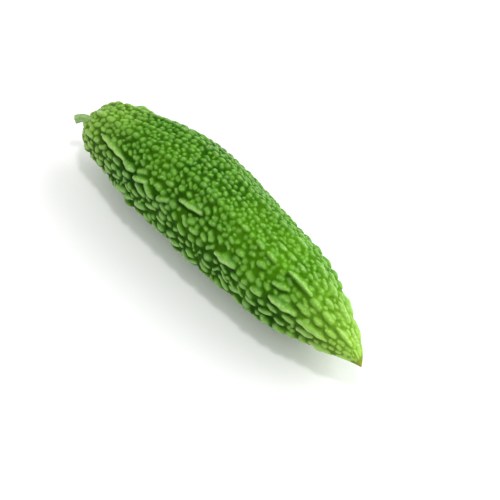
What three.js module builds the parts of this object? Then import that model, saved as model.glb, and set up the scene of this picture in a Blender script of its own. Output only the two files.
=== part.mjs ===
// A bitter gourd as picked, lying on its side: a warty, ridged fruit with a short piece of its stem.
// Millimetres, +Z up. The stem end points to -X and the blossom tip to +X.
import * as THREE from "three";
import { ConvexHull } from "three/addons/math/ConvexHull.js";

// Driving dimensions of the fruit.
const FRUIT_LENGTH = 220;
const SKIN_RADIUS = 26.3; // between the warts, at the widest place
const COLLAR_RADIUS = 4.2; // the small flat disc that the stem grows from
const SIDE_BOW = 8; // how far the middle of the fruit bows towards +Y
const AXIS_HEIGHT = 28.2; // of the stem end above the surface that the fruit lies on
const TIP_DROOP = 2.5; // how much lower the blossom tip's axis is

// The skin between the warts: share of the length, share of the radius, share of the bow.
const OUTLINE = [
  [0, COLLAR_RADIUS / SKIN_RADIUS, -0.6],
  [0.018, 0.39, -0.15],
  [0.055, 0.595, 0.1],
  [0.13, 0.74, 0.4],
  [0.2, 0.88, 0.64],
  [0.28, 0.98, 0.85],
  [0.38, 1, 0.94],
  [0.5, 0.98, 0.82],
  [0.6, 0.93, 0.79],
  [0.7, 0.88, 0.74],
  [0.76, 0.78, 0.72],
  [0.82, 0.605, 0.68],
  [0.9, 0.39, 0.56],
  [0.96, 0.185, 0.4],
  [0.985, 0.08, 0.2],
  [1, 0, 0],
];
const OUTLINE_STEPS = 1500;
const SLOPE_STEP = 0.2;

// Broad swellings that run from end to end: how many go round the fruit, and how deep they are.
const LOBES = [
  [8, 1.2],
  [16, 0.6],
];

// Ridge lines along the swellings. They break into single warts in the middle of the fruit.
const RIDGE_LINES = 16;
const FIRST_RIDGE_DEG = 12; // angles turn from +Z towards -Y
const RIDGE_WANDER_DEG = 2.5;
const RIDGE_HALF_WIDTH = 3.5;
const RIDGE_HEIGHT = 2.3;
const MIDDLE_SHARE = 0.42; // where the ridges are most broken up
const ENDS_RADIUS = 15; // where the fruit is more slender than this, warts shrink with it
const COLLAR_FADE = 5; // round the collar, over which all relief dies down

// Crests on the upper side, in mm from the stem end: from, to, angle at each, half width, height.
const UPPER_CRESTS = [
  [14, 27, -62, -60, 2.6, 2.9],
  [19, 42, 44, 50, 2.2, 3.1],
  [44, 51, 51, 52, 2.6, 2.9],
  [54, 62, 57, 52, 2.5, 2.9],
  [63, 70, 55, 61, 2.2, 2.7],
  [74, 79, 56, 51, 2.6, 2.7],
  [85, 100, 41, 35, 2.6, 2.8],
  [121, 134, 57, 55, 3.4, 3.1],
  [131, 134, 37, 36, 2.8, 2.7],
  [144, 148, 29, 28, 2.7, 2.7],
  [150, 155, 59, 58, 2.8, 2.8],
  [158, 166, 35, 29, 2.8, 3],
  [160, 176, 10, 10, 2.5, 3],
  [160, 176, 53, 52, 3, 3.3],
  [179, 197, 58, 60, 2.2, 2.3],
];
const CREST_LENGTH = 12; // a wart as long as this is a full crest
const CREST_END_SHARE = 0.45; // of the width and height in the middle of a crest
const CREST_WAVE = 0.12; // how much a crest's width and height swell and shrink along it
const UPPER_SKIRT = 1.5; // a long crest leans: its upper side is broad,
const LOWER_SKIRT = 0.85; // and its lower side steep

// A wart under the fruit, pressed flat, which the fruit rests on: mm from the stem end, half width.
const RESTING_WART = [96, 5];
const RESTING_WART_HEIGHT = 4;

// Warts that cover the skin between the ridges: rows of them, then smaller ones in the gaps.
const ROWS_BETWEEN = 1;
const ROW_WART_HALF_WIDTH = 3.8;
const ROW_STEP = 7;
const ROW_JITTER = 0.5;
const GAP_WARTS = [
  { halfWidth: 3.4, tries: 9000 },
  { halfWidth: 2.8, tries: 9000 },
];
const WART_HEIGHT_SHARE = 0.72; // of its half width
const WART_ROUNDNESS = 0.7; // under 1 gives steep sides and a broad top
const WART_CLEARANCE = 0.88; // under 1 lets the feet of neighbours overlap
const WANDER = 0.22; // pulls the round warts a little out of shape
const UNION_SHARPNESS = 8; // how sharp the creases are where warts meet

// Points that the faceted skin is drawn through, with the distances between them.
const SKIN_POINTS = 5950; // at most
const SHOULDER = 0.5; // of a wart's half width, where a ring of points rounds its top
const RING_PER_MM = 1.5; // points of a ring round a wart, for each mm of its half width
const CREST_STEP = 3.2; // between points along a crest
const VALLEY_STEP = 0.9; // between the places that are tried for points in the valleys
const VALLEY_EDGE = 1.25; // from a point in a valley to those on the warts
const VALLEY_SPACING = 2.2; // between two points in valleys

// The stem.
const STEM_RADIUS = 2.2;
const STEM_FOOT_RADIUS = 3.5;
const STEM_CUT_RADIUS = 2.5;
const STEM_RIBS = 5;
const STEM_RIB_DEPTH = 0.3;
const STEM_GAP = 0.3; // between the collar and the stem's foot
const STEM_PATH = [
  [0, 0, 0],
  [-1.5, 0, 0],
  [-3.4, -0.5, -0.1],
  [-5.6, -2.2, -0.6],
  [-7.3, -4.4, -1.4],
];
const STEM_SIDES = 20;
const STEM_STEPS = 12;

const radians = THREE.MathUtils.degToRad;
const { lerp, clamp } = THREE.MathUtils;
const TURN = 2 * Math.PI;

// A repeatable random number from 0 to 1.
let draws = 0;
function draw() {
  draws += 1;
  const scrambled = Math.sin(draws * 12.9898) * 43758.5453;
  return scrambled - Math.floor(scrambled);
}

// The outline as a table: place along the axis, radius, bow, and distance walked along the skin.
const outlineCurve = new THREE.CatmullRomCurve3(
  OUTLINE.map((p) => new THREE.Vector3(p[0] * FRUIT_LENGTH, p[1] * SKIN_RADIUS, p[2] * SIDE_BOW)),
);
const table = { x: [0], radius: [0], bow: [OUTLINE[0][2] * SIDE_BOW], distance: [0] };
for (let step = 0; step <= OUTLINE_STEPS; step++) {
  const spot = outlineCurve.getPoint(step / OUTLINE_STEPS);
  const walked = Math.hypot(spot.x - table.x.at(-1), spot.y - table.radius.at(-1));
  table.distance.push(table.distance.at(-1) + walked);
  table.x.push(spot.x);
  table.radius.push(Math.max(spot.y, 0));
  table.bow.push(spot.z);
}
const SKIN_LENGTH = table.distance.at(-1);

// Reads column `to` of the table where column `from` has the given value.
function lookUp(from, to, value) {
  let low = 0;
  let high = table[from].length - 1;
  while (high - low > 1) {
    const middle = (low + high) >> 1;
    if (table[from][middle] > value) high = middle;
    else low = middle;
  }
  const span = table[from][high] - table[from][low];
  const share = span > 0 ? (value - table[from][low]) / span : 0;
  return lerp(table[to][low], table[to][high], clamp(share, 0, 1));
}
const distanceAt = (x) => lookUp("x", "distance", x);
const xAt = (distance) => lookUp("distance", "x", distance);
const radiusAt = (distance) => lookUp("distance", "radius", distance);

// Warts and crests, each a rounded bank on the skin between two places given by distance and angle.
const banks = [];
function endFade(distance) {
  return clamp(Math.min(distance / 9, (SKIN_LENGTH - distance) / 26), 0.15, 1);
}
function addBank(from, to, fromAngle, toAngle, halfWidth, height) {
  const fade = endFade((from + to) / 2);
  banks.push({ from, to, fromAngle, toAngle, halfWidth, height: height * fade });
}

// 0 for a round wart and 1 for a full crest.
function crestShare(bank) {
  return Math.min((bank.to - bank.from) / CREST_LENGTH, 1);
}
// The place on a bank's middle line, as a share of its length, that is nearest to a distance.
function placeOn(bank, distance) {
  const length = bank.to - bank.from;
  return length > 0 ? clamp((distance - bank.from) / length, 0, 1) : 0.5;
}
// How far a place is from that line, along and across the fruit.
function offsetFrom(bank, distance, angle, at, radius) {
  const turn = angle - lerp(bank.fromAngle, bank.toAngle, at);
  const across = (turn - TURN * Math.round(turn / TURN)) * radius;
  return [distance - lerp(bank.from, bank.to, at), across];
}
function isFree(distance, angle, halfWidth) {
  const radius = radiusAt(distance);
  return banks.every((bank) => {
    const offset = offsetFrom(bank, distance, angle, placeOn(bank, distance), radius);
    return Math.hypot(...offset) > WART_CLEARANCE * (bank.halfWidth + halfWidth);
  });
}

// How far the pattern is pulled along and across the fruit, so that no wart is a plain round.
function wander(distance, angle) {
  const size = WANDER * Math.min(1, radiusAt(distance) / ENDS_RADIUS);
  const along = Math.sin(0.8 * distance + 5 * angle) + 0.6 * Math.sin(1.35 * distance - 19 * angle + 2);
  const across = Math.sin(0.7 * distance - 7 * angle + 1) + 0.6 * Math.sin(1.2 * distance + 23 * angle);
  return [size * along, size * across];
}
function wartsAt(distance, angle) {
  const radius = radiusAt(distance);
  const [pullAlong, pullAcross] = wander(distance, angle);
  let piled = 0;
  for (const bank of banks) {
    const whole = crestShare(bank);
    const place = distance + (1 - whole) * pullAlong;
    const at = placeOn(bank, place);
    const [along, straightAcross] = offsetFrom(bank, place, angle, at, radius);
    const across = straightAcross + (1 - whole) * pullAcross;
    const wave = CREST_WAVE * Math.sin(0.9 * place + 3 * bank.from);
    const swell = lerp(1, lerp(CREST_END_SHARE, 1, Math.sin(Math.PI * at)) + wave, whole);
    const isBelow = across * Math.sin((bank.fromAngle + bank.toAngle) / 2) > 0;
    const skirt = lerp(1, isBelow ? LOWER_SKIRT : UPPER_SKIRT, whole);
    const inside = 1 - (along ** 2 + (across / skirt) ** 2) / (bank.halfWidth * swell) ** 2;
    if (inside > 0) piled += (bank.height * swell * inside ** WART_ROUNDNESS) ** UNION_SHARPNESS;
  }
  return piled ** (1 / UNION_SHARPNESS);
}

function reliefAt(distance, angle) {
  let lobes = 0;
  for (const [count, depth] of LOBES)
    lobes += (depth * (1 + Math.cos(count * (angle - radians(FIRST_RIDGE_DEG))))) / 2;
  lobes *= Math.min(1, radiusAt(distance) / ENDS_RADIUS);
  return (wartsAt(distance, angle) + lobes) * clamp((distance - COLLAR_RADIUS) / COLLAR_FADE, 0, 1);
}

const [restingX, restingHalfWidth] = RESTING_WART;
const restingPlace = distanceAt(restingX);
addBank(restingPlace, restingPlace, Math.PI, Math.PI, restingHalfWidth, RESTING_WART_HEIGHT);
for (const [fromX, toX, fromDeg, toDeg, halfWidth, height] of UPPER_CRESTS)
  addBank(distanceAt(fromX), distanceAt(toX), radians(fromDeg), radians(toDeg), halfWidth, height);

// 0 in the middle of the fruit, where the ridges are broken, and 1 towards both ends.
function endShare(share) {
  return clamp((Math.abs(share - MIDDLE_SHARE) - 0.12) / 0.3, 0, 1);
}
function addRidgeLine(line) {
  const strong = line % 2 === 0;
  const middleAngle = radians(FIRST_RIDGE_DEG) + (TURN * line) / RIDGE_LINES;
  const phase = TURN * draw();
  const angleAt = (distance) => middleAngle + radians(RIDGE_WANDER_DEG) * Math.sin(distance / 22 + phase);
  let from = (strong ? 8 : 12) + 4 * draw();
  while (from < SKIN_LENGTH - 6) {
    const slender = Math.min(1, radiusAt(from) / ENDS_RADIUS);
    const length = 1 + lerp(1, strong ? 16 : 10, endShare(from / SKIN_LENGTH)) * draw() ** 2;
    const size = slender * (strong ? 1 : 0.9) * (0.9 + 0.2 * draw());
    const width = RIDGE_HALF_WIDTH * size;
    const to = Math.min(from + length, SKIN_LENGTH - 5);
    const places = [0, 0.25, 0.5, 0.75, 1].map((share) => lerp(from, to, share));
    if (places.every((place) => isFree(place, angleAt(place), width)))
      addBank(from, to, angleAt(from), angleAt(to), width, RIDGE_HEIGHT * size);
    from = to + 2 * width * (0.75 + 0.2 * draw());
  }
}
for (let line = 0; line < RIDGE_LINES; line++) addRidgeLine(line);

function addWart(distance, angle, halfWidth) {
  const size = halfWidth * (0.85 + 0.3 * draw()) * Math.min(1, radiusAt(distance) / ENDS_RADIUS);
  const nearTip = clamp((distance / SKIN_LENGTH - 0.68) / 0.2, 0, 1);
  const stretch = size * lerp(0.7, 4, nearTip) * draw();
  const turn = (stretch * (2 * draw() - 1) * (1 - nearTip)) / radiusAt(distance);
  if (!isFree(distance, angle, size) || !isFree(distance + stretch, angle + turn, size)) return;
  const height = size * WART_HEIGHT_SHARE * (0.8 + 0.4 * draw());
  addBank(distance, distance + stretch, angle, angle + turn, size, height);
}
function addRow(row) {
  let distance = 2 * COLLAR_RADIUS + ROW_STEP * draw();
  const middleAngle = radians(FIRST_RIDGE_DEG) + ((TURN / RIDGE_LINES) * row) / (ROWS_BETWEEN + 1);
  while (distance < SKIN_LENGTH - 8) {
    const radius = radiusAt(distance);
    const jitter = ROW_JITTER * ROW_STEP * (draw() - 0.5);
    addWart(distance, middleAngle + jitter / radius, ROW_WART_HALF_WIDTH);
    distance += ROW_STEP * (0.8 + 0.4 * draw()) * Math.min(1, radius / ENDS_RADIUS);
  }
}
for (let row = 0; row < RIDGE_LINES * (ROWS_BETWEEN + 1); row++) addRow(row);
for (const { halfWidth, tries } of GAP_WARTS)
  for (let attempt = 0; attempt < tries; attempt++)
    addWart(lerp(2 * COLLAR_RADIUS, SKIN_LENGTH - 8, draw()), TURN * draw(), halfWidth);

// Points of the faceted skin: tops and shoulders of the banks, then the valleys between them.
const points = [];
const GRID = 4;
const grid = new Map();
const cellOf = (v, dx = 0, dy = 0, dz = 0) =>
  `${Math.floor(v.x / GRID) + dx},${Math.floor(v.y / GRID) + dy},${Math.floor(v.z / GRID) + dz}`;
function isClear(position, spacing) {
  for (const dx of [-1, 0, 1])
    for (const dy of [-1, 0, 1])
      for (const dz of [-1, 0, 1])
        for (const other of grid.get(cellOf(position, dx, dy, dz)) ?? [])
          if (other.position.distanceTo(position) < Math.max(spacing, other.room)) return false;
  return true;
}
function slopeAt(distance) {
  const behind = Math.max(distance - SLOPE_STEP, 0);
  const ahead = Math.min(distance + SLOPE_STEP, SKIN_LENGTH);
  return Math.atan2(radiusAt(behind) - radiusAt(ahead), xAt(ahead) - xAt(behind));
}
function skinPosition(distance, angle, lift = 0) {
  const slope = slopeAt(distance);
  const x = xAt(distance);
  const out = radiusAt(distance) + lift * Math.cos(slope);
  const height = AXIS_HEIGHT - TIP_DROOP * (x / FRUIT_LENGTH) ** 2 + out * Math.cos(angle);
  return new THREE.Vector3(
    x + lift * Math.sin(slope),
    lookUp("distance", "bow", distance) - out * Math.sin(angle),
    Math.max(height, 0), // the lowest warts are pressed flat by the fruit's weight
  );
}
// Adds a point that keeps `spacing` from the points so far, and `room` from those that come later.
function addPoint(distance, angle, spacing, room = 0) {
  const position = skinPosition(distance, angle);
  if (points.length >= SKIN_POINTS || !isClear(position, spacing)) return;
  points.push({ distance, angle, relief: reliefAt(distance, angle) });
  const cell = cellOf(position);
  if (!grid.has(cell)) grid.set(cell, []);
  grid.get(cell).push({ position, room });
}
// Adds the point of the skin that the wander carries to a place on a bank.
function addBankPoint(bank, place, direction, spacing) {
  const [along, across] = wander(place, direction).map((pull) => pull * (1 - crestShare(bank)));
  const distance = clamp(place - along, COLLAR_RADIUS, SKIN_LENGTH - 1);
  addPoint(distance, direction - across / radiusAt(distance), spacing);
}
function addTop(bank) {
  const steps = Math.round((bank.to - bank.from) / CREST_STEP);
  for (let step = 0; step <= steps; step++) {
    const share = steps > 0 ? step / steps : 0.5;
    addBankPoint(bank, lerp(bank.from, bank.to, share), lerp(bank.fromAngle, bank.toAngle, share), 1);
  }
}
function addShoulders(bank, turn) {
  const spread = SHOULDER * bank.halfWidth;
  const steps = Math.round((bank.to - bank.from) / CREST_STEP);
  const corners = Math.round(RING_PER_MM * bank.halfWidth);
  for (let corner = 0; corner < corners; corner++) {
    const direction = TURN * (corner / corners + turn);
    const end = Math.cos(direction) > 0 ? 1 : 0;
    const distance = lerp(bank.from, bank.to, end) + spread * Math.cos(direction);
    const across = (spread * Math.sin(direction)) / radiusAt((bank.from + bank.to) / 2);
    addBankPoint(bank, distance, lerp(bank.fromAngle, bank.toAngle, end) + across, 1.1);
  }
  for (let step = 1; step < steps; step++)
    for (const side of [-1, 1]) {
      const distance = lerp(bank.from, bank.to, step / steps);
      const angle = lerp(bank.fromAngle, bank.toAngle, step / steps);
      addBankPoint(bank, distance, angle + (side * spread) / radiusAt(distance), 1.1);
    }
}
// The lowest places come first, so that the valleys stay sharp.
function addValleys() {
  const places = [];
  for (let distance = 2 * COLLAR_RADIUS; distance < SKIN_LENGTH - 3; distance += VALLEY_STEP) {
    const count = Math.ceil((TURN * radiusAt(distance)) / VALLEY_STEP);
    for (let column = 0; column < count; column++) {
      const angle = (TURN * column) / count;
      places.push({ distance, angle, height: wartsAt(distance, angle) });
    }
  }
  places.sort((a, b) => a.height - b.height);
  for (const { distance, angle } of places) addPoint(distance, angle, VALLEY_EDGE, VALLEY_SPACING);
}
addPoint(0, 0, 0);
addPoint(SKIN_LENGTH, 0, 0);
for (let corner = 0; corner < 12; corner++) addPoint(COLLAR_RADIUS, (TURN * corner) / 12, 1);
for (const bank of banks) addTop(bank);
for (const bank of banks) addShoulders(bank, draw());
addValleys();

// Joins the points by the faces of a convex hull, on a sphere that the fruit is carried to by a map
// that keeps angles, so that each triangle joins near neighbours.
table.pole = [0];
for (let row = 1; row < table.distance.length; row++) {
  const walked = table.distance[row] - table.distance[row - 1];
  const radius = Math.max((table.radius[row] + table.radius[row - 1]) / 2, 0.3);
  table.pole.push(table.pole[row - 1] + walked / radius);
}
const middlePole = lookUp("distance", "pole", SKIN_LENGTH / 2);
function onSphere({ distance, angle }) {
  if (distance <= 0) return new THREE.Vector3(-1, 0, 0);
  if (distance >= SKIN_LENGTH) return new THREE.Vector3(1, 0, 0);
  const pole = lookUp("distance", "pole", distance) - middlePole;
  const ring = 1 / Math.cosh(pole);
  return new THREE.Vector3(Math.tanh(pole), -ring * Math.sin(angle), ring * Math.cos(angle));
}
function skinGeometry() {
  const spots = points.map(onSphere);
  const indexOf = new Map(spots.map((spot, index) => [spot, index]));
  const triangles = [];
  for (const { edge } of new ConvexHull().setFromPoints(spots).faces)
    for (const side of [edge, edge.next, edge.prev]) triangles.push(indexOf.get(side.head().point));
  const corners = points.map(({ distance, angle, relief }) => skinPosition(distance, angle, relief));
  return new THREE.BufferGeometry().setFromPoints(corners).setIndex(triangles);
}

// The stem: a ribbed tube with a flared foot and a slightly swollen cut end.
function stemGeometry() {
  const path = new THREE.CatmullRomCurve3(STEM_PATH.map((p) => new THREE.Vector3(...p)));
  const rings = [];
  for (let step = 0; step <= STEM_STEPS; step++) {
    const share = step / STEM_STEPS;
    const middle = path.getPointAt(share);
    const tangent = path.getTangentAt(share);
    const side = new THREE.Vector3(0, 0, 1).cross(tangent).normalize();
    const up = tangent.clone().cross(side);
    const foot = (STEM_FOOT_RADIUS - STEM_RADIUS) * (1 - share) ** 4;
    const cut = (STEM_CUT_RADIUS - STEM_RADIUS) * share ** 3;
    for (let corner = 0; corner < STEM_SIDES; corner++) {
      const angle = (2 * Math.PI * corner) / STEM_SIDES;
      const radius = STEM_RADIUS + foot + cut + STEM_RIB_DEPTH * Math.cos(STEM_RIBS * angle);
      const spot = middle.clone().addScaledVector(side, radius * Math.cos(angle));
      rings.push(spot.addScaledVector(up, radius * Math.sin(angle)));
    }
  }
  const first = rings.push(path.getPointAt(0)) - 1;
  const last = rings.push(path.getPointAt(1)) - 1;
  const triangles = [];
  const lastRing = STEM_STEPS * STEM_SIDES;
  for (let corner = 0; corner < STEM_SIDES; corner++) {
    const next = (corner + 1) % STEM_SIDES;
    for (let ring = 0; ring < lastRing; ring += STEM_SIDES) {
      const [a, b] = [ring + corner, ring + next];
      triangles.push(a, b, b + STEM_SIDES, a, b + STEM_SIDES, a + STEM_SIDES);
    }
    triangles.push(first, next, corner, last, lastRing + corner, lastRing + next);
  }
  return new THREE.BufferGeometry().setFromPoints(rings).setIndex(triangles);
}

const skinMaterial = new THREE.MeshStandardMaterial({ color: 0x52882a, roughness: 0.42, metalness: 0 });
const stemMaterial = new THREE.MeshStandardMaterial({ color: 0x6f9448, roughness: 0.6, metalness: 0 });

const fruit = new THREE.Mesh(skinGeometry(), skinMaterial);
fruit.name = "fruit";
const stem = new THREE.Mesh(stemGeometry(), stemMaterial);
stem.name = "stem";
stem.position.set(-STEM_GAP, lookUp("distance", "bow", 0), AXIS_HEIGHT);

// The origin is below the middle of the gourd, on the surface that it lies on.
const gourd = new THREE.Group().add(fruit, stem);
const middle = new THREE.Box3().setFromObject(gourd, true).getCenter(new THREE.Vector3());
gourd.position.set(-middle.x, -middle.y, 0);

export default gourd;
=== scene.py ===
# A bitter gourd lying on a pale floor, dressed over its solid model: fine warts, skin and stem.
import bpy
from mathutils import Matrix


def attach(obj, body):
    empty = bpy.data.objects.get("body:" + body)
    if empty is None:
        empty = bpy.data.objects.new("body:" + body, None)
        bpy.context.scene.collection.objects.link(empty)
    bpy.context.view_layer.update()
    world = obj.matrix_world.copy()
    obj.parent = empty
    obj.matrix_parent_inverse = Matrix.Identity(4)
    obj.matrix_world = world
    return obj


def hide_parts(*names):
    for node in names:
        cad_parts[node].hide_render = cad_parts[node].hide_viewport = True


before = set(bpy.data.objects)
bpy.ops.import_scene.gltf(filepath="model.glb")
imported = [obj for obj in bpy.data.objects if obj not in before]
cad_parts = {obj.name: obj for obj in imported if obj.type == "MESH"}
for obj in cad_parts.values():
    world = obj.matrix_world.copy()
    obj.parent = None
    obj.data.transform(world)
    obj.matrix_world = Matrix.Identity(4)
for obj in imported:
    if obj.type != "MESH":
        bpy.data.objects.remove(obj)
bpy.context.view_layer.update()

import math

import bpy
import numpy as np
from mathutils import Matrix, Vector

MM = 0.001
TURN = 2 * math.pi

# Driving dimensions of the fruit, in mm, as in the solid model.
FRUIT_LENGTH = 220
SKIN_RADIUS = 26.3  # between the warts, at the widest place
COLLAR_RADIUS = 4.2  # the small flat disc that the stem grows from
COLLAR_FADE = 5  # distance past the collar in which the relief reaches its full height
SIDE_BOW = 8  # towards +Y, where the outline's share of the bow is 1
AXIS_HEIGHT = 28.2  # of the stem end above the floor
TIP_DROOP = 2.5  # how much lower the blossom tip's axis is

# The skin between the warts: share of the length, share of the radius, share of the bow.
OUTLINE = [
    (0, COLLAR_RADIUS / SKIN_RADIUS, -0.6),
    (0.018, 0.39, -0.15),
    (0.055, 0.595, 0.1),
    (0.13, 0.74, 0.4),
    (0.2, 0.88, 0.64),
    (0.28, 0.98, 0.85),
    (0.38, 1, 0.94),
    (0.5, 0.98, 0.82),
    (0.6, 0.93, 0.79),
    (0.7, 0.88, 0.74),
    (0.76, 0.78, 0.72),
    (0.82, 0.605, 0.68),
    (0.9, 0.39, 0.56),
    (0.96, 0.185, 0.4),
    (0.985, 0.08, 0.2),
    (1, 0, 0),
]
OUTLINE_STEPS = 1500
ENDS_RADIUS = 15  # where the fruit is thinner than this, its warts are smaller
LOBE_DEPTHS = {8: 1.2, 16: 0.6}  # number of soft swellings around the fruit, and their depth

# Ridge lines, which break into single warts in the middle of the fruit. Pairs are for the strong lines and
# for the weak ones between them.
RIDGE_LINES = 16
FIRST_RIDGE_DEG = 12
RIDGE_WANDER_DEG = 2.5
RIDGE_WANDER_PACE = 22
RIDGE_HALF_WIDTH = 3
RIDGE_HEIGHT = 2
RIDGE_SIZES = (1, 0.9)
RIDGE_STARTS = (8, 12)
RIDGE_START_REACH = 4
LAST_RIDGE_START = 6  # mm before the tip
LAST_RIDGE_END = 5
LONGEST_FOLDS = (16, 10)  # on top of the first mm
MIDDLE_SHARE = 0.42  # share of the length where the ridges are most broken
MIDDLE_REACH = 0.12  # share of the length, either way, where they are as broken
WHOLE_REACH = 0.3  # share of the length, past that, in which they come to run together
MIDDLE_RIDGE_SHARE = 0.72  # size of their warts in the middle
STEM_RIDGE_SHARE = 0.3  # how far they run together towards the stem, against towards the tip

# Crests on the upper side, in mm from the stem end: from, to, angle at each, half width, height.
UPPER_CRESTS = [
    (14, 27, -62, -60, 2.6, 2.9),
    (19, 42, 44, 50, 2.2, 3.1),
    (44, 51, 51, 52, 2.6, 2.9),
    (54, 62, 57, 52, 2.5, 2.9),
    (63, 70, 55, 61, 2.2, 2.7),
    (74, 79, 56, 51, 2.6, 2.7),
    (85, 100, 41, 35, 2.6, 2.8),
    (121, 134, 57, 55, 3.4, 3.1),
    (131, 134, 37, 36, 2.8, 2.7),
    (144, 148, 29, 28, 2.7, 2.7),
    (150, 155, 59, 58, 2.8, 2.8),
    (158, 166, 35, 29, 2.8, 3),
    (160, 176, 10, 10, 2.5, 3),
    (160, 176, 53, 52, 3, 3.3),
    (179, 197, 58, 60, 2.2, 2.3),
]
CREST_LENGTH = 12  # a wart as long as this is a full crest
CREST_END_SHARE = 0.45  # size of a crest's ends, against its middle
CREST_WAVE = 0.12
CREST_WAVE_PACE = 0.9
CREST_WAVE_SHIFT = 3
UPPER_SKIRT = 1.5  # how far a crest spreads up and down the fruit, against a round wart
LOWER_SKIRT = 0.6
CREST_HIGHLIGHT_REACH = (0.7, 1.2)  # how far the painted highlight along a crest's edge reaches down and up, in mm
SHADE_PLACE = 1.9  # how far below a crest's line its shade lies, in mm
SHADE_REACH = (0.9, 1.5)  # across and along
UNION_SHARPNESS = 8
RESTING_WART = (96, 5, 4)  # mm from the stem end, half width, height, on the underside

# How heights fade towards the stem and the tip, in mm, and the least share that stays.
STEM_FADE = 9
TIP_FADE = 26
LEAST_HEIGHT = 0.15

# The pull on the pattern, in mm, and its waves: share, pace along, number around, shift.
WANDER = 0.22
ALONG_WAVES = [(1, 0.8, 5, 0), (0.6, 1.35, -19, 2)]
ACROSS_WAVES = [(1, 0.7, -7, 1), (0.6, 1.2, 23, 0)]

# The true-size warts that cover the skin between the ridges: rows of them, then small ones in the gaps.
ROWS_BETWEEN = 3
ROW_WART_HALF_WIDTH = 1.9
ROW_STEP = 2.9
ROW_JITTER = 1.2
GAP_WARTS = [(1.8, 9000), (1.5, 9000), (1.2, 12000)]  # half width, tries
LAST_WART = 8  # mm before the tip
WART_HEIGHT_SHARE = 0.68
WART_ROUNDNESS = 1
WART_CLEARANCE = 0.66
WART_STRETCH = (0.7, 4)  # against their size, on most of the fruit and at the tip
STRETCHED_FROM = 0.68  # share of the length
STRETCHED_REACH = 0.2

# The flank that the photo shows in shade, where warts grow larger and folds lie less in line.
FLANK_DEG = 95
FLANK_GROWTH = 0.9
FLANK_LEAST = 0.2  # share of that growth at the stem end
FLANK_RISE = 100  # mm in which that share rises by 1, until it is whole
FLANK_STRETCH = 0.4  # how stretched warts are, against those at the tip
FLANK_FOLDING = 0.5  # how far ridges run together
FLANK_SWAY_DEG = 14  # how far the ends of a fold stray from its ridge line

# Where warts are lowest: share of the length and angle, reach of each, and their height there.
SOFT_PLACE = (0.66, 25)
SOFT_REACH = (0.2, 60)
SOFT_SHARE = 0.45

# Share of the length, and what is added there under the fine warts, in mm, so that the fruit stays as
# thick as the solid model.
FINE_LIFT = [(0.03, 0), (0.23, 0.9), (0.43, 0.9), (0.63, 0)]

SKIN_ROWS = 340
SKIN_COLUMNS = 288
SLOPE_STEP = 0.2

# The stem, in mm, with its path from the middle of its foot.
STEM_RADIUS = 2.2
STEM_FOOT_RADIUS = 3.5
STEM_FOOT_SHARPNESS = 4
STEM_CUT_RADIUS = 2.5
STEM_CUT_SHARPNESS = 3
STEM_RIBS = 5
STEM_RIB_DEPTH = 0.3
STEM_PATH = [(0, 0, 0), (-1.5, 0, 0), (-3.4, -0.5, -0.1), (-5.6, -2.2, -0.6), (-7.3, -4.4, -1.4)]
STEM_SIDES = 60
STEM_STEPS = 48

# Display colours. The first row goes from the valleys of the skin to the tops of its warts; its darker
# valleys are partly the skin's own deeper green and partly painted shade.
SKIN_GREENS_WITH_VALLEY_SHADE = [(0, (18, 60, 0)), (0.4, (46, 100, 0)), (0.75, (78, 138, 4)), (1, (102, 164, 26))]
# painted shade in the crevices between the small pebble bumps
PEBBLE_CREVICE_SHADE_GREEN = (22, 68, 0)
PATCH_GREEN = (100, 164, 8)
# painted highlight along the edges of the crests
CREST_HIGHLIGHT_GREEN = (176, 214, 130)
# painted shade, used in the valleys of the shaded flank and below the crests
PAINTED_SHADE_GREEN = (14, 46, 0)
# painted highlight on the wart tops of the shaded flank
FLANK_HIGHLIGHT_GREEN = (172, 213, 132)
STEM_END_GREEN = (162, 202, 84)
COLLAR_GREEN = (136, 176, 72)
# brighter green of the tip half: partly its own tone, partly painted light, as it is kept off the shaded
# flank
TIP_HALF_AND_LIT_SIDE_GREEN = (112, 184, 8)
TIP_GREEN = (164, 208, 78)
TIP_BROWN = (150, 138, 58)
STEM_GREENS = [(0.3, (104, 144, 70)), (0.7, (150, 183, 112))]
CUT_GREEN = (168, 186, 120)
BLACK = (0, 0, 0, 1)

# Sizes of the materials' grain, for each metre, and their bumps: height in metres, strength.
PEBBLE_SCALE = 400
PATCH_SCALE = 45
CREST_HIGHLIGHT_SCALE = 300
FINE_GRAIN_SCALE = 900
STEM_GRAIN_SCALE = 700
PEBBLE_BUMP = (0.0008, 0.7)
FINE_GRAIN_BUMP = (0.0003, 0.35)
STEM_GRAIN_BUMP = (0.0004, 0.5)

# Where the photo shows the fruit, and how large.
CAMERA_AZIMUTH_DEG = 47.7
CAMERA_ELEVATION_DEG = 58
CAMERA_DISTANCE_M = 1.6
CAMERA_CLIP_M = (0.05, 20)
FRAME_WIDTH_M = 0.2775
FRAME_PIXELS = 500
TIP_PIXEL = (361.5, 367.5)
SENSOR_MM = 36

# The studio. Lights: name, how far up, right and back they lie, distance, size, power.
FLOOR_REACH_M = 6
FLOOR_GREY = 0.9
FLOOR_ROUGHNESS = 0.9
SKY_STRENGTH = 0.85
LIGHTS = [("key", (0.8, 1.1, 0.5), 1.2, 1.1, 11.4), ("glint", (0.6, 0.1, 1), 1.2, 0.14, 3.6)]


def lerp(a, b, share):
    return a + (b - a) * share


def clamp(value, low=0):
    """The value, kept from low to 1."""
    return min(max(value, low), 1)


def wrapped(turn):
    """The same angle, at most half a turn either way."""
    return turn - TURN * np.round(turn / TURN)


def draw():
    """A repeatable random number from 0 to 1."""
    draw.count += 1
    scrambled = math.sin(draw.count * 12.9898) * 43758.5453
    return scrambled - math.floor(scrambled)


draw.count = 0


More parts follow.
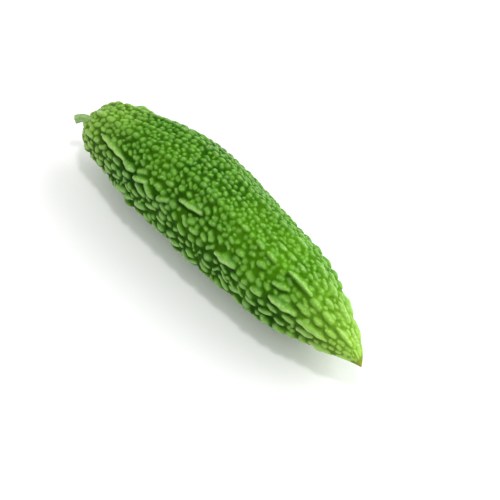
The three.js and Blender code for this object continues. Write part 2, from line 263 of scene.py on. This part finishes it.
def smooth_curve(points, steps):
    """A centripetal Catmull-Rom curve through the points, with its ends carried straight on."""
    points = [np.array(point, float) for point in points]
    points = [2 * points[0] - points[1]] + points + [2 * points[-1] - points[-2]]
    spans = len(points) - 3
    spots = []
    for step in range(steps + 1):
        span = min(int(step / steps * spans), spans - 1)
        t = step / steps * spans - span
        p0, p1, p2, p3 = points[span:span + 4]
        d0, d1, d2 = (float(np.sum((b - a) ** 2)) ** 0.25 for a, b in ((p0, p1), (p1, p2), (p2, p3)))
        leave = ((p1 - p0) / d0 - (p2 - p0) / (d0 + d1) + (p2 - p1) / d1) * d1
        arrive = ((p2 - p1) / d1 - (p3 - p1) / (d1 + d2) + (p3 - p2) / d2) * d1
        bend = -3 * p1 + 3 * p2 - 2 * leave - arrive
        twist = 2 * p1 - 2 * p2 + leave + arrive
        spots.append(p1 + leave * t + bend * t ** 2 + twist * t ** 3)
    return np.array(spots)


# The outline as columns: place along the axis, radius and bow, with the distance walked along the skin.
scaled = [(x * FRUIT_LENGTH, radius * SKIN_RADIUS, bow * SIDE_BOW) for x, radius, bow in OUTLINE]
outline = np.vstack([[0, 0, OUTLINE[0][2] * SIDE_BOW], smooth_curve(scaled, OUTLINE_STEPS)])
walked = np.concatenate([[0], np.cumsum(np.hypot(np.diff(outline[:, 0]), np.diff(outline[:, 1])))])
SKIN_LENGTH = float(walked[-1])


def x_at(distance):
    return np.interp(distance, walked, outline[:, 0])


def radius_at(distance):
    return np.interp(distance, walked, np.maximum(outline[:, 1], 0))


def bow_at(distance):
    return np.interp(distance, walked, outline[:, 2])


def distance_at(x):
    return float(np.interp(x, outline[1:, 0], walked[1:]))


def slender_at(distance):
    """1 where the fruit is thick, and less towards its ends."""
    return min(1, float(radius_at(distance)) / ENDS_RADIUS)


def flank_at(angle):
    """1 in the middle of the flank that the photo shows in shade, and 0 on the other side."""
    return np.maximum(0, np.cos(angle - math.radians(FLANK_DEG))) ** 2


class Banks:
    """Warts and crests, each a rounded bank between two places given by distance and angle."""

    def __init__(self, room=6000):
        self.rows = np.zeros((room, 6))
        self.count = 0

    def add(self, start, end, start_angle, end_angle, half_width, height):
        middle = (start + end) / 2
        fade = clamp(min(middle / STEM_FADE, (SKIN_LENGTH - middle) / TIP_FADE), LEAST_HEIGHT)
        self.rows[self.count] = (start, end, start_angle, end_angle, half_width, height * fade)
        self.count += 1

    def free(self, distance, angle, half_width):
        """Whether a wart at this place is clear of all the banks so far."""
        start, end, start_angle, end_angle, width, _ = self.rows[:self.count].T
        length = end - start
        at = np.clip((distance - start) / np.maximum(length, 1e-9), 0, 1)
        at[length <= 0] = 0.5
        across = wrapped(angle - lerp(start_angle, end_angle, at)) * float(radius_at(distance))
        off = np.hypot(distance - lerp(start, end, at), across) / (width + half_width)
        return bool(np.all(off > WART_CLEARANCE))


banks = Banks()


def add_placed_banks():
    from_stem, half_width, height = RESTING_WART
    resting = distance_at(from_stem)
    banks.add(resting, resting, math.pi, math.pi, half_width, height)
    for from_x, to_x, from_deg, to_deg, half_width, height in UPPER_CRESTS:
        banks.add(distance_at(from_x), distance_at(to_x), math.radians(from_deg), math.radians(to_deg),
                  half_width, height)


def add_ridge_line(line):
    weak = line % 2
    middle_angle = math.radians(FIRST_RIDGE_DEG + 360 / RIDGE_LINES * line)
    flank = float(flank_at(middle_angle))
    sway = math.radians(FLANK_SWAY_DEG) * flank
    phase = TURN * draw()

    def angle_at(distance):
        return middle_angle + math.radians(RIDGE_WANDER_DEG) * math.sin(distance / RIDGE_WANDER_PACE + phase)

    start = RIDGE_STARTS[weak] + RIDGE_START_REACH * draw()
    while start < SKIN_LENGTH - LAST_RIDGE_START:
        whole = clamp((abs(start / SKIN_LENGTH - MIDDLE_SHARE) - MIDDLE_REACH) / WHOLE_REACH)
        if start < MIDDLE_SHARE * SKIN_LENGTH:
            whole *= STEM_RIDGE_SHARE
        length = 1 + lerp(1, LONGEST_FOLDS[weak], max(whole, FLANK_FOLDING * flank)) * draw() ** 2
        size = slender_at(start) * RIDGE_SIZES[weak] * (0.9 + 0.2 * draw())
        size *= lerp(MIDDLE_RIDGE_SHARE, 1, whole)
        width = RIDGE_HALF_WIDTH * size
        end = min(start + length, SKIN_LENGTH - LAST_RIDGE_END)
        start_angle = angle_at(start) + sway * (draw() - 0.5)
        end_angle = angle_at(end) + sway * (draw() - 0.5)
        if all(banks.free(lerp(start, end, share), lerp(start_angle, end_angle, share), width)
               for share in (0, 0.25, 0.5, 0.75, 1)):
            banks.add(start, end, start_angle, end_angle, width, RIDGE_HEIGHT * size)
        start = end + 2 * width * (0.75 + 0.2 * draw())


def softness(distance, angle):
    """1 where the warts are lowest, and 0 far from there."""
    along = (distance / SKIN_LENGTH - SOFT_PLACE[0]) / SOFT_REACH[0]
    around = math.degrees(wrapped(angle - math.radians(SOFT_PLACE[1]))) / SOFT_REACH[1]
    return math.exp(-along ** 2 - around ** 2)


def add_wart(distance, angle, half_width):
    """Adds a wart of about this size, unless the place is taken."""
    size = half_width * (0.85 + 0.3 * draw()) * slender_at(distance)
    flank = float(flank_at(angle))
    size *= 1 + FLANK_GROWTH * flank * min(FLANK_LEAST + distance / FLANK_RISE, 1)
    near_tip = clamp((distance / SKIN_LENGTH - STRETCHED_FROM) / STRETCHED_REACH)
    stretch = size * lerp(*WART_STRETCH, max(near_tip, FLANK_STRETCH * flank)) * draw()
    turn = stretch * (2 * draw() - 1) * (1 - near_tip) / float(radius_at(distance))
    if banks.free(distance, angle, size) and banks.free(distance + stretch, angle + turn, size):
        height = size * WART_HEIGHT_SHARE * (0.8 + 0.4 * draw())
        height *= lerp(1, SOFT_SHARE, softness(distance, angle))
        banks.add(distance, distance + stretch, angle, angle + turn, size, height)


def add_row(row):
    distance = 2 * COLLAR_RADIUS + ROW_STEP * draw()
    middle_angle = math.radians(FIRST_RIDGE_DEG) + TURN / RIDGE_LINES * row / (ROWS_BETWEEN + 1)
    while distance < SKIN_LENGTH - LAST_WART:
        radius = float(radius_at(distance))
        jitter = ROW_JITTER * ROW_STEP * (draw() - 0.5)
        add_wart(distance, middle_angle + jitter / radius, ROW_WART_HALF_WIDTH)
        distance += ROW_STEP * (0.8 + 0.4 * draw()) * min(1, radius / ENDS_RADIUS)


add_placed_banks()
for line in range(RIDGE_LINES):
    add_ridge_line(line)
for row in range(RIDGE_LINES * (ROWS_BETWEEN + 1)):
    add_row(row)
for half_width, tries in GAP_WARTS:
    for _ in range(tries):
        add_wart(lerp(2 * COLLAR_RADIUS, SKIN_LENGTH - LAST_WART, draw()), TURN * draw(), half_width)


def wander(distance, angle, radius):
    """How far the pattern is pulled along and across the fruit, in mm, so that no wart is a plain round."""
    size = WANDER * np.minimum(1, radius / ENDS_RADIUS)
    return [size * sum(share * np.sin(pace * distance + turns * angle + shift)
                       for share, pace, turns, shift in waves)
            for waves in (ALONG_WAVES, ACROSS_WAVES)]


def relief_on(distances, angles):
    """How far the skin stands out on a grid of places, in mm, and three masks from 0 to 1 for its material:
    how near each place is to a wart's top, to a crest's edge where a highlight is painted, and to the painted
    shade below a crest."""
    piled, crown, crest_highlight, shade = (np.zeros((len(distances), len(angles))) for _ in range(4))
    radii = radius_at(distances)
    along_wander, across_wander = wander(distances[:, None], angles[None, :], radii[:, None])
    for start, end, start_angle, end_angle, half_width, height in banks.rows[:banks.count]:
        spread = half_width + 2 * WANDER
        rows = np.flatnonzero((distances > start - spread) & (distances < end + spread))
        if not len(rows):
            continue
        whole = min((end - start) / CREST_LENGTH, 1)
        places = distances[rows, None] + (1 - whole) * along_wander[rows]
        at = np.clip((places - start) / (end - start), 0, 1) if end > start else np.full(places.shape, 0.5)
        along = places - lerp(start, end, at)
        across = wrapped(angles[None, :] - lerp(start_angle, end_angle, at)) * radii[rows, None]
        across += (1 - whole) * across_wander[rows]
        below = across * math.sin((start_angle + end_angle) / 2) > 0
        top = np.exp(-(across / np.where(below, *CREST_HIGHLIGHT_REACH)) ** 2)
        shaded = np.exp(-((np.abs(across) - SHADE_PLACE) / SHADE_REACH[0]) ** 2)
        shaded *= np.exp(-(along / SHADE_REACH[1]) ** 2)
        wave = CREST_WAVE * np.sin(CREST_WAVE_PACE * places + CREST_WAVE_SHIFT * start)
        swell = lerp(1, lerp(CREST_END_SHARE, 1, np.sin(np.pi * at)) + wave, whole)
        across /= np.where(below, lerp(1, LOWER_SKIRT, whole), lerp(1, UPPER_SKIRT, whole))
        inside = np.maximum(1 - (along ** 2 + across ** 2) / (half_width * swell) ** 2, 0)
        piled[rows] += (height * swell * inside ** WART_ROUNDNESS) ** UNION_SHARPNESS
        crown[rows] = np.maximum(crown[rows], inside)
        # where the painted highlight along the crest's edge lies
        crest_highlight[rows] = np.maximum(crest_highlight[rows], whole * top * inside)
        shade[rows] = np.maximum(shade[rows], whole * below * shaded)
    turned = angles - math.radians(FIRST_RIDGE_DEG)
    lobes = sum(depth * (1 + np.cos(count * turned)) / 2 for count, depth in LOBE_DEPTHS.items())
    slender = np.minimum(1, radii / ENDS_RADIUS)[:, None]
    lift = np.interp(distances / SKIN_LENGTH, *zip(*FINE_LIFT))[:, None]
    relief = piled ** (1 / UNION_SHARPNESS) + slender * (lobes[None, :] + lift)
    relief *= np.clip((distances - COLLAR_RADIUS) / COLLAR_FADE, 0, 1)[:, None]
    return relief, {"crown": crown, "crest_highlight": crest_highlight, "shade": shade}


def packed_origin():
    """The stem end of the fruit's axis, on the floor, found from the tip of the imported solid."""
    tip = max((vertex.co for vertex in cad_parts["fruit"].data.vertices), key=lambda co: co.x)
    return Vector(tip) - MM * Vector((FRUIT_LENGTH, 0, AXIS_HEIGHT - TIP_DROOP))


ORIGIN = packed_origin()


def new_object(name, corners, faces, node):
    mesh = bpy.data.meshes.new(name)
    mesh.from_pydata([tuple(corner) for corner in corners], [], faces)
    mesh.validate()
    mesh.shade_smooth()
    piece = bpy.data.objects.new(name, mesh)
    bpy.context.scene.collection.objects.link(piece)
    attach(piece, "root")
    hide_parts(node)
    return piece


def store(piece, name, values):
    """Keeps one number for each corner, which the material reads by its name."""
    attribute = piece.data.attributes.new(name, "FLOAT", "POINT")
    attribute.data.foreach_set("value", np.asarray(values, np.float32))


def skin_corners(distances, angles, relief):
    """The grid of corners, row by row, and then the two poles."""
    ahead = np.minimum(distances + SLOPE_STEP, SKIN_LENGTH)
    behind = np.maximum(distances - SLOPE_STEP, 0)
    slope = np.arctan2(radius_at(behind) - radius_at(ahead), x_at(ahead) - x_at(behind))[:, None]
    x = x_at(distances)[:, None] + relief * np.sin(slope)
    out = radius_at(distances)[:, None] + relief * np.cos(slope)
    y = bow_at(distances)[:, None] - out * np.sin(angles)
    z = AXIS_HEIGHT - TIP_DROOP * (x_at(distances)[:, None] / FRUIT_LENGTH) ** 2 + out * np.cos(angles)
    corners = np.stack([x, y, np.maximum(z, 0)], axis=-1).reshape(-1, 3)
    poles = np.array([(0, bow_at(0), AXIS_HEIGHT), (FRUIT_LENGTH, 0, AXIS_HEIGHT - TIP_DROOP)])
    return np.vstack([corners, poles]) * MM + np.array(ORIGIN)


def skin_faces(rows):
    stem_pole = rows * SKIN_COLUMNS
    last_row = (rows - 1) * SKIN_COLUMNS
    faces = []
    for column in range(SKIN_COLUMNS):
        following = (column + 1) % SKIN_COLUMNS
        faces.append((stem_pole, following, column))
        faces.append((stem_pole + 1, last_row + column, last_row + following))
        for row in range(rows - 1):
            a, b = row * SKIN_COLUMNS + column, row * SKIN_COLUMNS + following
            faces.append((a, b, b + SKIN_COLUMNS, a + SKIN_COLUMNS))
    return faces


def make_fruit():
    distances = np.linspace(0, SKIN_LENGTH, SKIN_ROWS + 1)[1:-1]
    angles = np.linspace(0, TURN, SKIN_COLUMNS, endpoint=False)
    rows = len(distances)
    relief, masks = relief_on(distances, angles)
    piece = new_object("warty_skin", skin_corners(distances, angles, relief), skin_faces(rows),
                       "fruit")
    for name, values in masks.items():
        store(piece, name, np.append(values.ravel(), [0, 0]))
    store(piece, "along", np.append(np.repeat(x_at(distances) / FRUIT_LENGTH, SKIN_COLUMNS), [0, 1]))
    store(piece, "flank", np.append(np.tile(flank_at(angles), rows), [0, 0]))
    return piece


def make_stem():
    path = smooth_curve(STEM_PATH, STEM_STEPS) + (0, bow_at(0), 0)
    tangents = np.gradient(path, axis=0)
    corners, faces = [], []
    for step in range(STEM_STEPS + 1):
        share = step / STEM_STEPS
        tangent = tangents[step] / np.linalg.norm(tangents[step])
        side = np.cross((0, 0, 1), tangent)
        side /= np.linalg.norm(side)
        up = np.cross(tangent, side)
        foot = (STEM_FOOT_RADIUS - STEM_RADIUS) * (1 - share) ** STEM_FOOT_SHARPNESS
        cut = (STEM_CUT_RADIUS - STEM_RADIUS) * share ** STEM_CUT_SHARPNESS
        for corner in range(STEM_SIDES):
            angle = TURN * corner / STEM_SIDES
            radius = STEM_RADIUS + foot + cut + STEM_RIB_DEPTH * math.cos(STEM_RIBS * angle)
            corners.append(path[step] + radius * (side * math.cos(angle) + up * math.sin(angle)))
    corners = (np.array(corners) + (0, 0, AXIS_HEIGHT)) * MM + np.array(ORIGIN)
    for step in range(STEM_STEPS):
        for corner in range(STEM_SIDES):
            a, b = step * STEM_SIDES + corner, step * STEM_SIDES + (corner + 1) % STEM_SIDES
            faces.append((a, b, b + STEM_SIDES, a + STEM_SIDES))
    faces.append(tuple(range(STEM_SIDES - 1, -1, -1)))
    faces.append(tuple(STEM_STEPS * STEM_SIDES + corner for corner in range(STEM_SIDES)))
    piece = new_object("cut_stem", corners, faces, "stem")
    store(piece, "cut", np.repeat(np.arange(STEM_STEPS + 1) == STEM_STEPS, STEM_SIDES))
    return piece


def linear(colour):
    """A display colour, from 0 to 255, as the linear colour that a shader takes."""
    shares = [value / 255 for value in colour]
    return (*(share / 12.92 if share <= 0.04045 else ((share + 0.055) / 1.055) ** 2.4 for share in shares), 1)


class Look:
    """A material whose nodes are added and joined in short calls."""

    def __init__(self, name):
        self.material = bpy.data.materials.new(name)
        self.material.use_nodes = True
        self.tree = self.material.node_tree
        self.shader = self.tree.nodes["Principled BSDF"]

    def node(self, kind, **settings):
        node = self.tree.nodes.new("ShaderNode" + kind)
        for name, value in settings.items():
            setattr(node, name, value)
        return node

    def join(self, source, target):
        self.tree.links.new(source, target)

    def attribute(self, name):
        return self.node("Attribute", attribute_name=name).outputs["Fac"]

    def ramp(self, source, *stops):
        """Display colours, or plain values, at places from 0 to 1."""
        node = self.node("ValToRGB")
        elements = node.color_ramp.elements
        while len(elements) < len(stops):
            elements.new(0.5)
        for element, (place, value) in zip(elements, stops):
            element.position = place
            element.color = linear(value) if isinstance(value, tuple) else (value, value, value, 1)
        self.join(source, node.inputs["Fac"])
        return node.outputs["Color"]

    def mix(self, factor, first, second):
        node = self.node("Mix", data_type="RGBA")
        for name, value in (("Factor", factor), ("A", first), ("B", second)):
            if isinstance(value, tuple):
                node.inputs[name].default_value = value
            else:
                self.join(value, node.inputs[name])
        return node.outputs["Result"]

    def times(self, first, second):
        """The product of two masks."""
        return self.mix(first, BLACK, second)

    def without(self, first, second):
        """The second mask, less the share of it that the first one takes."""
        return self.mix(first, second, BLACK)

    def textured(self, kind, scale, **settings):
        """A texture in the piece's own space, in metres."""
        node = self.node(kind, **settings)
        self.join(self.node("TexCoord").outputs["Object"], node.inputs["Vector"])
        node.inputs["Scale"].default_value = scale
        return node

    def noise(self, scale, detail):
        node = self.textured("TexNoise", scale)
        node.inputs["Detail"].default_value = detail
        return node.outputs["Fac"]

    def pebbles(self, scale):
        """1 in the middle of each small round cell, falling to 0 between them."""
        node = self.textured("TexVoronoi", scale, feature="SMOOTH_F1")
        node.inputs["Smoothness"].default_value = 0.4
        return self.ramp(node.outputs["Distance"], (0.1, 1), (0.62, 0))

    def bump(self, source, distance, strength):
        """Lays one more bump over those so far."""
        node = self.node("Bump")
        node.inputs["Distance"].default_value = distance
        node.inputs["Strength"].default_value = strength
        self.join(source, node.inputs["Height"])
        for link in self.shader.inputs["Normal"].links:
            self.join(link.from_socket, node.inputs["Normal"])
        self.join(node.outputs["Normal"], self.shader.inputs["Normal"])


def skin_material():
    look = Look("gourd_skin")
    crown, crest_highlight, shade, along, flank = (
        look.attribute(name) for name in ("crown", "crest_highlight", "shade", "along", "flank"))
    pebbles = look.pebbles(PEBBLE_SCALE)
    shade_strength = look.ramp(along, (0.08, 0.15), (0.2, 0.75), (0.72, 0.75), (0.86, 0.15))
    # Each layer lies over those before it: where, and in which colour.
    layers = [
        # painted shade between the small pebble bumps
        (look.ramp(pebbles, (0, 0.4), (0.6, 0)), PEBBLE_CREVICE_SHADE_GREEN),
        (look.ramp(look.noise(PATCH_SCALE, 3), (0.35, 0), (0.7, 0.3)), PATCH_GREEN),
        # painted highlight along the crests' edges
        (look.without(look.noise(CREST_HIGHLIGHT_SCALE, 2), crest_highlight), CREST_HIGHLIGHT_GREEN),
        # painted shade in the valleys of the shaded flank
        (look.without(look.ramp(crown, (0.1, 0.64), (0.6, 1)), flank), PAINTED_SHADE_GREEN),
        # painted highlight on the wart tops of the shaded flank
        (look.without(look.ramp(crown, (0.5, 1), (1, 0.8)), flank), FLANK_HIGHLIGHT_GREEN),
        (look.times(look.ramp(crown, (0.2, 0.35), (0.7, 1)), look.ramp(along, (0, 0.5), (0.18, 0))),
         STEM_END_GREEN),
        (look.ramp(along, (0.01, 0.5), (0.035, 0)), COLLAR_GREEN),
        # brighter tip half, partly own tone and partly painted light on the upper side only
        (look.without(flank, look.ramp(along, (0.45, 0), (0.7, 0.24))), TIP_HALF_AND_LIT_SIDE_GREEN),
        (look.times(look.ramp(crown, (0.1, 0.5), (0.7, 1)), look.ramp(along, (0.76, 0), (0.95, 0.62))),
         TIP_GREEN),
        (look.ramp(along, (0.975, 0), (1, 0.75)), TIP_BROWN),
        # painted shadow below the crests
        (look.times(shade, shade_strength), PAINTED_SHADE_GREEN),
    ]
    # darker in the valleys: partly the skin's own deeper green, partly painted shade
    green = look.ramp(crown, *SKIN_GREENS_WITH_VALLEY_SHADE)
    for mask, colour in layers:
        green = look.mix(mask, green, linear(colour))
    look.join(green, look.shader.inputs["Base Color"])
    look.join(look.ramp(crown, (0.3, 0.55), (0.9, 0.27)), look.shader.inputs["Roughness"])
    look.join(look.ramp(crown, (0.3, 0.04), (0.9, 0.36)), look.shader.inputs["Specular IOR Level"])
    look.bump(pebbles, *PEBBLE_BUMP)
    look.bump(look.noise(FINE_GRAIN_SCALE, 2), *FINE_GRAIN_BUMP)
    return look.material


def stem_material():
    look = Look("stem_green")
    grain = look.noise(STEM_GRAIN_SCALE, 4)
    cut = look.ramp(look.attribute("cut"), (0, 0), (1, 0.7))
    green = look.mix(cut, look.ramp(grain, *STEM_GREENS), linear(CUT_GREEN))
    look.join(green, look.shader.inputs["Base Color"])
    look.join(look.ramp(grain, (0.3, 0.7), (0.7, 0.5)), look.shader.inputs["Roughness"])
    look.bump(grain, *STEM_GRAIN_BUMP)
    return look.material


make_fruit().data.materials.append(skin_material())
make_stem().data.materials.append(stem_material())


def camera_axes():
    """The directions to the right, up and towards the camera, as the photo shows them."""
    azimuth, elevation = math.radians(CAMERA_AZIMUTH_DEG), math.radians(CAMERA_ELEVATION_DEG)
    back = Vector((math.sin(azimuth) * math.cos(elevation), -math.cos(azimuth) * math.cos(elevation),
                   math.sin(elevation)))
    right = Vector((math.cos(azimuth), math.sin(azimuth), 0))
    return right, back.cross(right), back


RIGHT, UP, BACK = camera_axes()


def make_camera():
    """Sets the camera so that the fruit's tip falls on its pixel in the photo."""
    camera = bpy.data.objects.new("camera", bpy.data.cameras.new("camera"))
    bpy.context.scene.collection.objects.link(camera)
    camera.data.sensor_width = SENSOR_MM
    camera.data.lens = SENSOR_MM * CAMERA_DISTANCE_M / FRAME_WIDTH_M
    camera.data.clip_start, camera.data.clip_end = CAMERA_CLIP_M
    middle = ORIGIN + MM * Vector((FRUIT_LENGTH / 2, 0, AXIS_HEIGHT))
    tip = ORIGIN + MM * Vector((FRUIT_LENGTH, 0, AXIS_HEIGHT - TIP_DROOP)) - middle
    metres_a_pixel = FRAME_WIDTH_M / FRAME_PIXELS * (1 - tip.dot(BACK) / CAMERA_DISTANCE_M)
    aside = tip.dot(RIGHT) - (TIP_PIXEL[0] - FRAME_PIXELS / 2) * metres_a_pixel
    above = tip.dot(UP) + (TIP_PIXEL[1] - FRAME_PIXELS / 2) * metres_a_pixel
    place = middle + RIGHT * aside + UP * above + BACK * CAMERA_DISTANCE_M
    camera.matrix_world = Matrix.Translation(place) @ Matrix((RIGHT, UP, BACK)).transposed().to_4x4()
    bpy.context.scene.camera = camera


def make_area_light(name, way, distance, size, power):
    light = bpy.data.objects.new(name, bpy.data.lights.new(name, "AREA"))
    bpy.context.scene.collection.objects.link(light)
    light.data.size = size
    light.data.energy = power
    up, right, back = way
    toward = (UP * up + RIGHT * right + BACK * back).normalized()
    light.location = toward * distance
    light.rotation_euler = toward.to_track_quat("Z", "Y").to_euler()


def make_floor():
    floor = bpy.data.objects.new("floor", bpy.data.meshes.new("floor"))
    bpy.context.scene.collection.objects.link(floor)
    reach = FLOOR_REACH_M
    floor.data.from_pydata([(-reach, -reach, 0), (reach, -reach, 0), (reach, reach, 0), (-reach, reach, 0)],
                           [], [(0, 1, 2, 3)])
    material = bpy.data.materials.new("floor")
    material.use_nodes = True
    shader = material.node_tree.nodes["Principled BSDF"]
    shader.inputs["Base Color"].default_value = (FLOOR_GREY, FLOOR_GREY, FLOOR_GREY, 1)
    shader.inputs["Roughness"].default_value = FLOOR_ROUGHNESS
    floor.data.materials.append(material)


def make_studio():
    make_floor()
    world = bpy.data.worlds.new("world")
    world.use_nodes = True
    background = world.node_tree.nodes["Background"]
    background.inputs["Color"].default_value = (1, 1, 1, 1)
    background.inputs["Strength"].default_value = SKY_STRENGTH
    bpy.context.scene.world = world
    for light in LIGHTS:
        make_area_light(*light)
    bpy.context.scene.view_settings.view_transform = "Standard"


make_camera()
make_studio()
